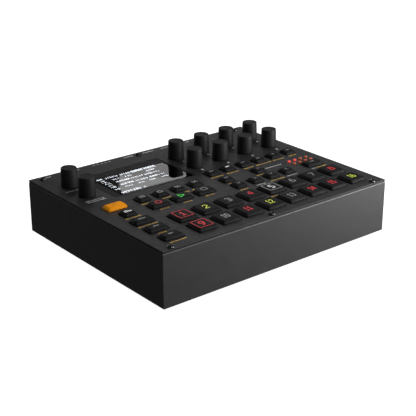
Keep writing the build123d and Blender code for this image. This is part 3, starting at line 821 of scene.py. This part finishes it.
# Each small key carries one plain sign: (light, width, closed, path) in millimetres round the crown's middle
arrow = np.array([(-1.7, -0.8), (0, 0.9), (1.7, -0.8)])
quarter = np.array([(0, 1), (-1, 0)])
mixer_bars = [[(x, -1.7), (x, 1.9 - abs(x + 0.6) * 0.5)] for x in (-2.4, -0.8, 0.8, 2.4)]
split_box = rounded_path(1.9, 1.4, 0.3)
signs = {
    "record_key": [("red", 0.48, True, circle_path(2.35))],
    "play_key": [("green", 0.55, True, [(-2.1, -2.5), (-2.1, 2.5), (2.5, 0)])],
    "stop_key": [("grey", 0.45, True, rounded_path(2.2, 2.2, 0.6))],
    "mixer_key": [("bright", 0.7, False, bar) for bar in mixer_bars],
    "arrow_up_key": [("grey", 0.42, False, arrow)],
    "arrow_down_key": [("grey", 0.42, False, -arrow)],
    "arrow_left_key": [("grey", 0.42, False, arrow @ quarter.T)],
    "arrow_right_key": [("grey", 0.42, False, -arrow @ quarter.T)],
    "mode_key_1": [("dull", 0.45, True, split_box), ("dull", 0.4, False, [(0, -1.1), (0, 1.1)])],
    "mode_key_2": [("grey", 0.55, True, rounded_path(1.8, 1.5, 0.5))],
    "mode_key_3": [("grey", 0.5, False, wave_path(4.6, 1.2, 2))],
    "mode_key_4": [("grey", 0.5, False, wave_path(4.6, 1.3, 1.5))],
    "parameter_key_2": [("bright", 1.2, False, [(-1.9, 0), (1.9, 0)])],
}
for key, lines in signs.items():
    spot, level = crown_spot(key)
    parts = [stroke(path, width, spot, level, closed) for light, width, closed, path in lines]
    legend(f"{key}_sign", parts, lines[0][0], key)

# Word keys carry a short row of plain dashes: half its length in millimetres
dash_rows = {
    "track_key": 1.9, "pattern_key": 2.2, "song_key": 2.9, "page_key": 1.9, "no_key": 1.2, "yes_key": 1.5,
    "parameter_key_1": 1.7, "parameter_key_3": 1.7, "parameter_key_4": 1.7, "parameter_key_5": 1.2,
    "parameter_key_6": 1.8,
}
dash_height = 1.3
for key, half_length in dash_rows.items():
    spot, level = crown_spot(key)
    row = printed_line(-half_length, half_length, 0, dash_height, level, dice, spot)
    legend(f"{key}_sign", [row], "dull", key)

function_half_length = 2.2
spot, level = crown_spot("function_key")
dark_ink = ink("dark_ink", (0.30, 0.10, 0.004))
row = printed_line(-function_half_length, function_half_length, 0, dash_height, level, dice, spot)
make("function_key_mark", [row], dark_ink, "function_key")

# Knobs: ten soft-touch caps, plain and very slightly tapered, each pushed onto a steel spindle.
# A turned profile gives the rounded rim and the shallow dish on top.
knob_bottom = panel_top + 0.4 * mm
knob_radius = 6.65 * mm
knob_bottom_radius = knob_radius - 0.02 * mm
knob_top_radius = 6.1 * mm
knob_rim = 0.45 * mm
knob_dish = 0.18 * mm
dish_start = 0.9 * mm
dish_floor = 1.3 * mm
dish_edge = 0.1 * mm
spindle_radius = 3.0 * mm
spindle_tip_edge = 0.3 * mm
spindle_root_edge = 0.1 * mm
knob_bottom_edge = 0.25 * mm
knob_core = 0.3 * mm
knob_around = 72
knob_plastic = finish("knob_plastic", (0.0085, 0.0085, 0.0088), 0.58, 4200, 0.012 * mm, gloss=0.29)
for name in [*data_knobs, "volume_knob", "level_knob"]:
    low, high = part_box(name)
    knob_profile = soften(
        [
            (knob_core, low.z),
            (spindle_radius, low.z),
            (spindle_radius, knob_bottom),
            (knob_bottom_radius, knob_bottom),
            (knob_top_radius, high.z),
            (knob_top_radius - dish_start, high.z),
            (knob_top_radius - dish_floor, high.z - knob_dish),
            (knob_core, high.z - knob_dish),
        ],
        [spindle_tip_edge, spindle_root_edge, knob_bottom_edge, knob_rim, dish_edge, dish_edge],
    )
    spot = ((low.x + high.x) / 2, (low.y + high.y) / 2)
    knob = make(f"{name}_cap", [turned(knob_profile, spot, knob_around)], knob_plastic, name)
    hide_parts(name)

# Panel screws: six blackened button-head screws with hexagonal sockets, down through panel and lip.
# From the rim of the head the rings change from circles to hexagons: r = flats / cos(a within a sixth).
screws_low, screws_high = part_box("panel_screws")
head_radius = 2.5 * mm
head_height = screws_high.z - panel_top
head_side = 0.995
head_around = 48
dome_steps = 8
dome_share = 0.92
shank_radius = 1.45 * mm
shank_core = 0.2 * mm
shank_point = 0.3 * mm
socket_flats = 0.95 * mm
socket_lip = 0.06 * mm
socket_depth = 0.9 * mm
middle_screw_x = left_edge + 99.4 * mm
screw_x = (screws_low.x + head_radius, middle_screw_x, screws_high.x - head_radius)
screw_y = (screws_low.y + head_radius, screws_high.y - head_radius)


def button_head(centre):
    """Shank, domed head and hexagonal socket in one stack of rings.  The dome runs from the whole radius in
    to half of it: its height goes with sqrt(1 - (0.92 share)^2) and is head_height at the half."""
    angle = np.linspace(0, 2 * np.pi, head_around, endpoint=False)
    hexagon = socket_flats / np.cos(np.mod(angle, np.pi / 3) - np.pi / 6)
    share = np.linspace(1, 0.5, dome_steps)
    dome = np.sqrt(1 - (share * dome_share) ** 2) / np.sqrt(1 - (0.5 * dome_share) ** 2)
    shank = [
        (shank_core, screws_low.z),
        (shank_radius, screws_low.z + shank_point),
        (shank_radius, panel_top),
        (head_radius, panel_top),
    ]
    radius, level = np.array(shank).T
    radius = np.concatenate([radius, share * head_radius * head_side])
    level = np.concatenate([level, panel_top + head_height * dome])
    rings = np.empty((len(radius) + 3, len(angle), 3))
    rings[:-3, :, 0] = radius[:, None] * np.cos(angle)
    rings[:-3, :, 1] = radius[:, None] * np.sin(angle)
    rings[:-3, :, 2] = level[:, None]
    crown = panel_top + head_height
    socket = [(3, 1.06, crown), (2, 1.0, crown - socket_lip), (1, 0.98, crown - socket_depth)]
    for back, size, height in socket:
        rings[-back, :, 0] = size * hexagon * np.cos(angle)
        rings[-back, :, 1] = size * hexagon * np.sin(angle)
        rings[-back, :, 2] = height
    rings[..., :2] += centre
    return skin(rings)


black_steel = finish("black_steel", (0.085, 0.085, 0.09), 0.17, 5200, 0.002 * mm, metal=1.0)
screw_parts = [button_head((x, y)) for x in screw_x for y in screw_y]
screws = make("screws", screw_parts, black_steel, "case", sharp=45)
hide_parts("panel_screws")

# Table: a plain white floor, even in its light, that sends no light or reflection back to the object.
table_half = 9
table_mesh = bpy.data.meshes.new("floor")
table_corners = [(table_half * x, table_half * y, 0) for x, y in ((-1, -1), (1, -1), (1, 1), (-1, 1))]
table_mesh.from_pydata(table_corners, [], [(0, 1, 2, 3)])
table = bpy.data.objects.new("floor", table_mesh)
bpy.context.scene.collection.objects.link(table)
paper = bpy.data.materials.new("paper")
paper.use_nodes = True
paper_shader = paper.node_tree.nodes["Principled BSDF"]
paper_shader.inputs["Base Color"].default_value = (0.3, 0.3, 0.3, 1)
paper_shader.inputs["Emission Color"].default_value = (1, 1, 1, 1)
paper_shader.inputs["Emission Strength"].default_value = 1.0
table_mesh.materials.append(paper)
table.visible_diffuse = False
table.visible_glossy = False

# Studio: a white surround for the eye, a dim room for the object, and soft boxes near its front right corner,
# above and behind it.  A low one behind lights only what is matt, and a card is what the pane reflects.
room_strength = 0.075
world = bpy.data.worlds.new("studio")
bpy.context.scene.world = world
world.use_nodes = True
room = world.node_tree
room.nodes.clear()
seen = room.nodes.new("ShaderNodeBackground")
seen.inputs["Color"].default_value = (1, 1, 1, 1)
dim = room.nodes.new("ShaderNodeBackground")
dim.inputs["Color"].default_value = (1, 1, 1, 1)
dim.inputs["Strength"].default_value = room_strength
ray = room.nodes.new("ShaderNodeLightPath")
blend = room.nodes.new("ShaderNodeMixShader")
out = room.nodes.new("ShaderNodeOutputWorld")
room.links.new(ray.outputs["Is Camera Ray"], blend.inputs["Fac"])
room.links.new(dim.outputs["Background"], blend.inputs[1])
room.links.new(seen.outputs["Background"], blend.inputs[2])
room.links.new(blend.outputs["Shader"], out.inputs["Surface"])


def aim(thing, place, back, up):
    """Puts a lamp or camera at place, with its rear along back and its top towards up."""
    back = np.asarray(back, float) / np.linalg.norm(back)
    side = np.cross(up, back)
    side /= np.linalg.norm(side)
    turn = np.eye(4)
    turn[:3, :3] = np.column_stack([side, np.cross(back, side), back])
    turn[:3, 3] = place
    thing.matrix_world = Matrix(turn.tolist())


def soft_box(name, place, target, width, height, watts):
    """A rectangular soft light at place that faces target and isn't itself seen."""
    light = bpy.data.lights.new(name, "AREA")
    light.shape = "RECTANGLE"
    light.size = width
    light.size_y = height
    light.energy = watts
    lamp = bpy.data.objects.new(name, light)
    bpy.context.scene.collection.objects.link(lamp)
    aim(lamp, place, np.asarray(place, float) - np.asarray(target, float), (0, 0, 1))
    lamp.visible_camera = False
    return lamp


soft_box("near_box", (0.20, -0.20, 0.10), (0.08, -0.08, 0.03), 0.15, 0.15, 0.13)
soft_box("side_box", (0.30, -0.28, 0.12), (0.05, -0.05, 0.03), 0.25, 0.25, 1.8)
soft_box("front_top_box", (0.1, -0.7, 0.9), (0, 0, 0.03), 0.5, 0.5, 4.8)
soft_box("rear_top_box", (0.55, 0.55, 0.60), (0, 0, 0.03), 0.5, 0.5, 0.36)
soft_box("rear_box", (-0.1, 0.9, 0.2), (0, 0.09, 0.03), 0.5, 0.3, 1.0)
low_rear_box = soft_box("low_rear_box", (0.1, 0.95, 0.42), (0, 0, 0.04), 0.5, 0.3, 10)
low_rear_box.visible_glossy = False
soft_box("window_card", (0.540, 0.755, 0.40), (-0.018, 0.028, 0.047), 0.187, 0.2, 0.108)

# Camera: off the front left corner, a little above, with a long lens.
camera_place = (-0.483288, -0.599773, 0.337706)
camera_back = (-0.58964238, -0.71400851, 0.37750989)
camera_up = (0.23827725, 0.29282086, 0.92600210)
camera_data = bpy.data.cameras.new("camera")
camera = bpy.data.objects.new("camera", camera_data)
bpy.context.scene.collection.objects.link(camera)
bpy.context.scene.camera = camera
camera_data.sensor_width = 36
camera_data.lens = 91.92
camera_data.shift_x = -0.024
aim(camera, camera_place, camera_back, camera_up)
bpy.context.scene.view_settings.view_transform = "Standard"
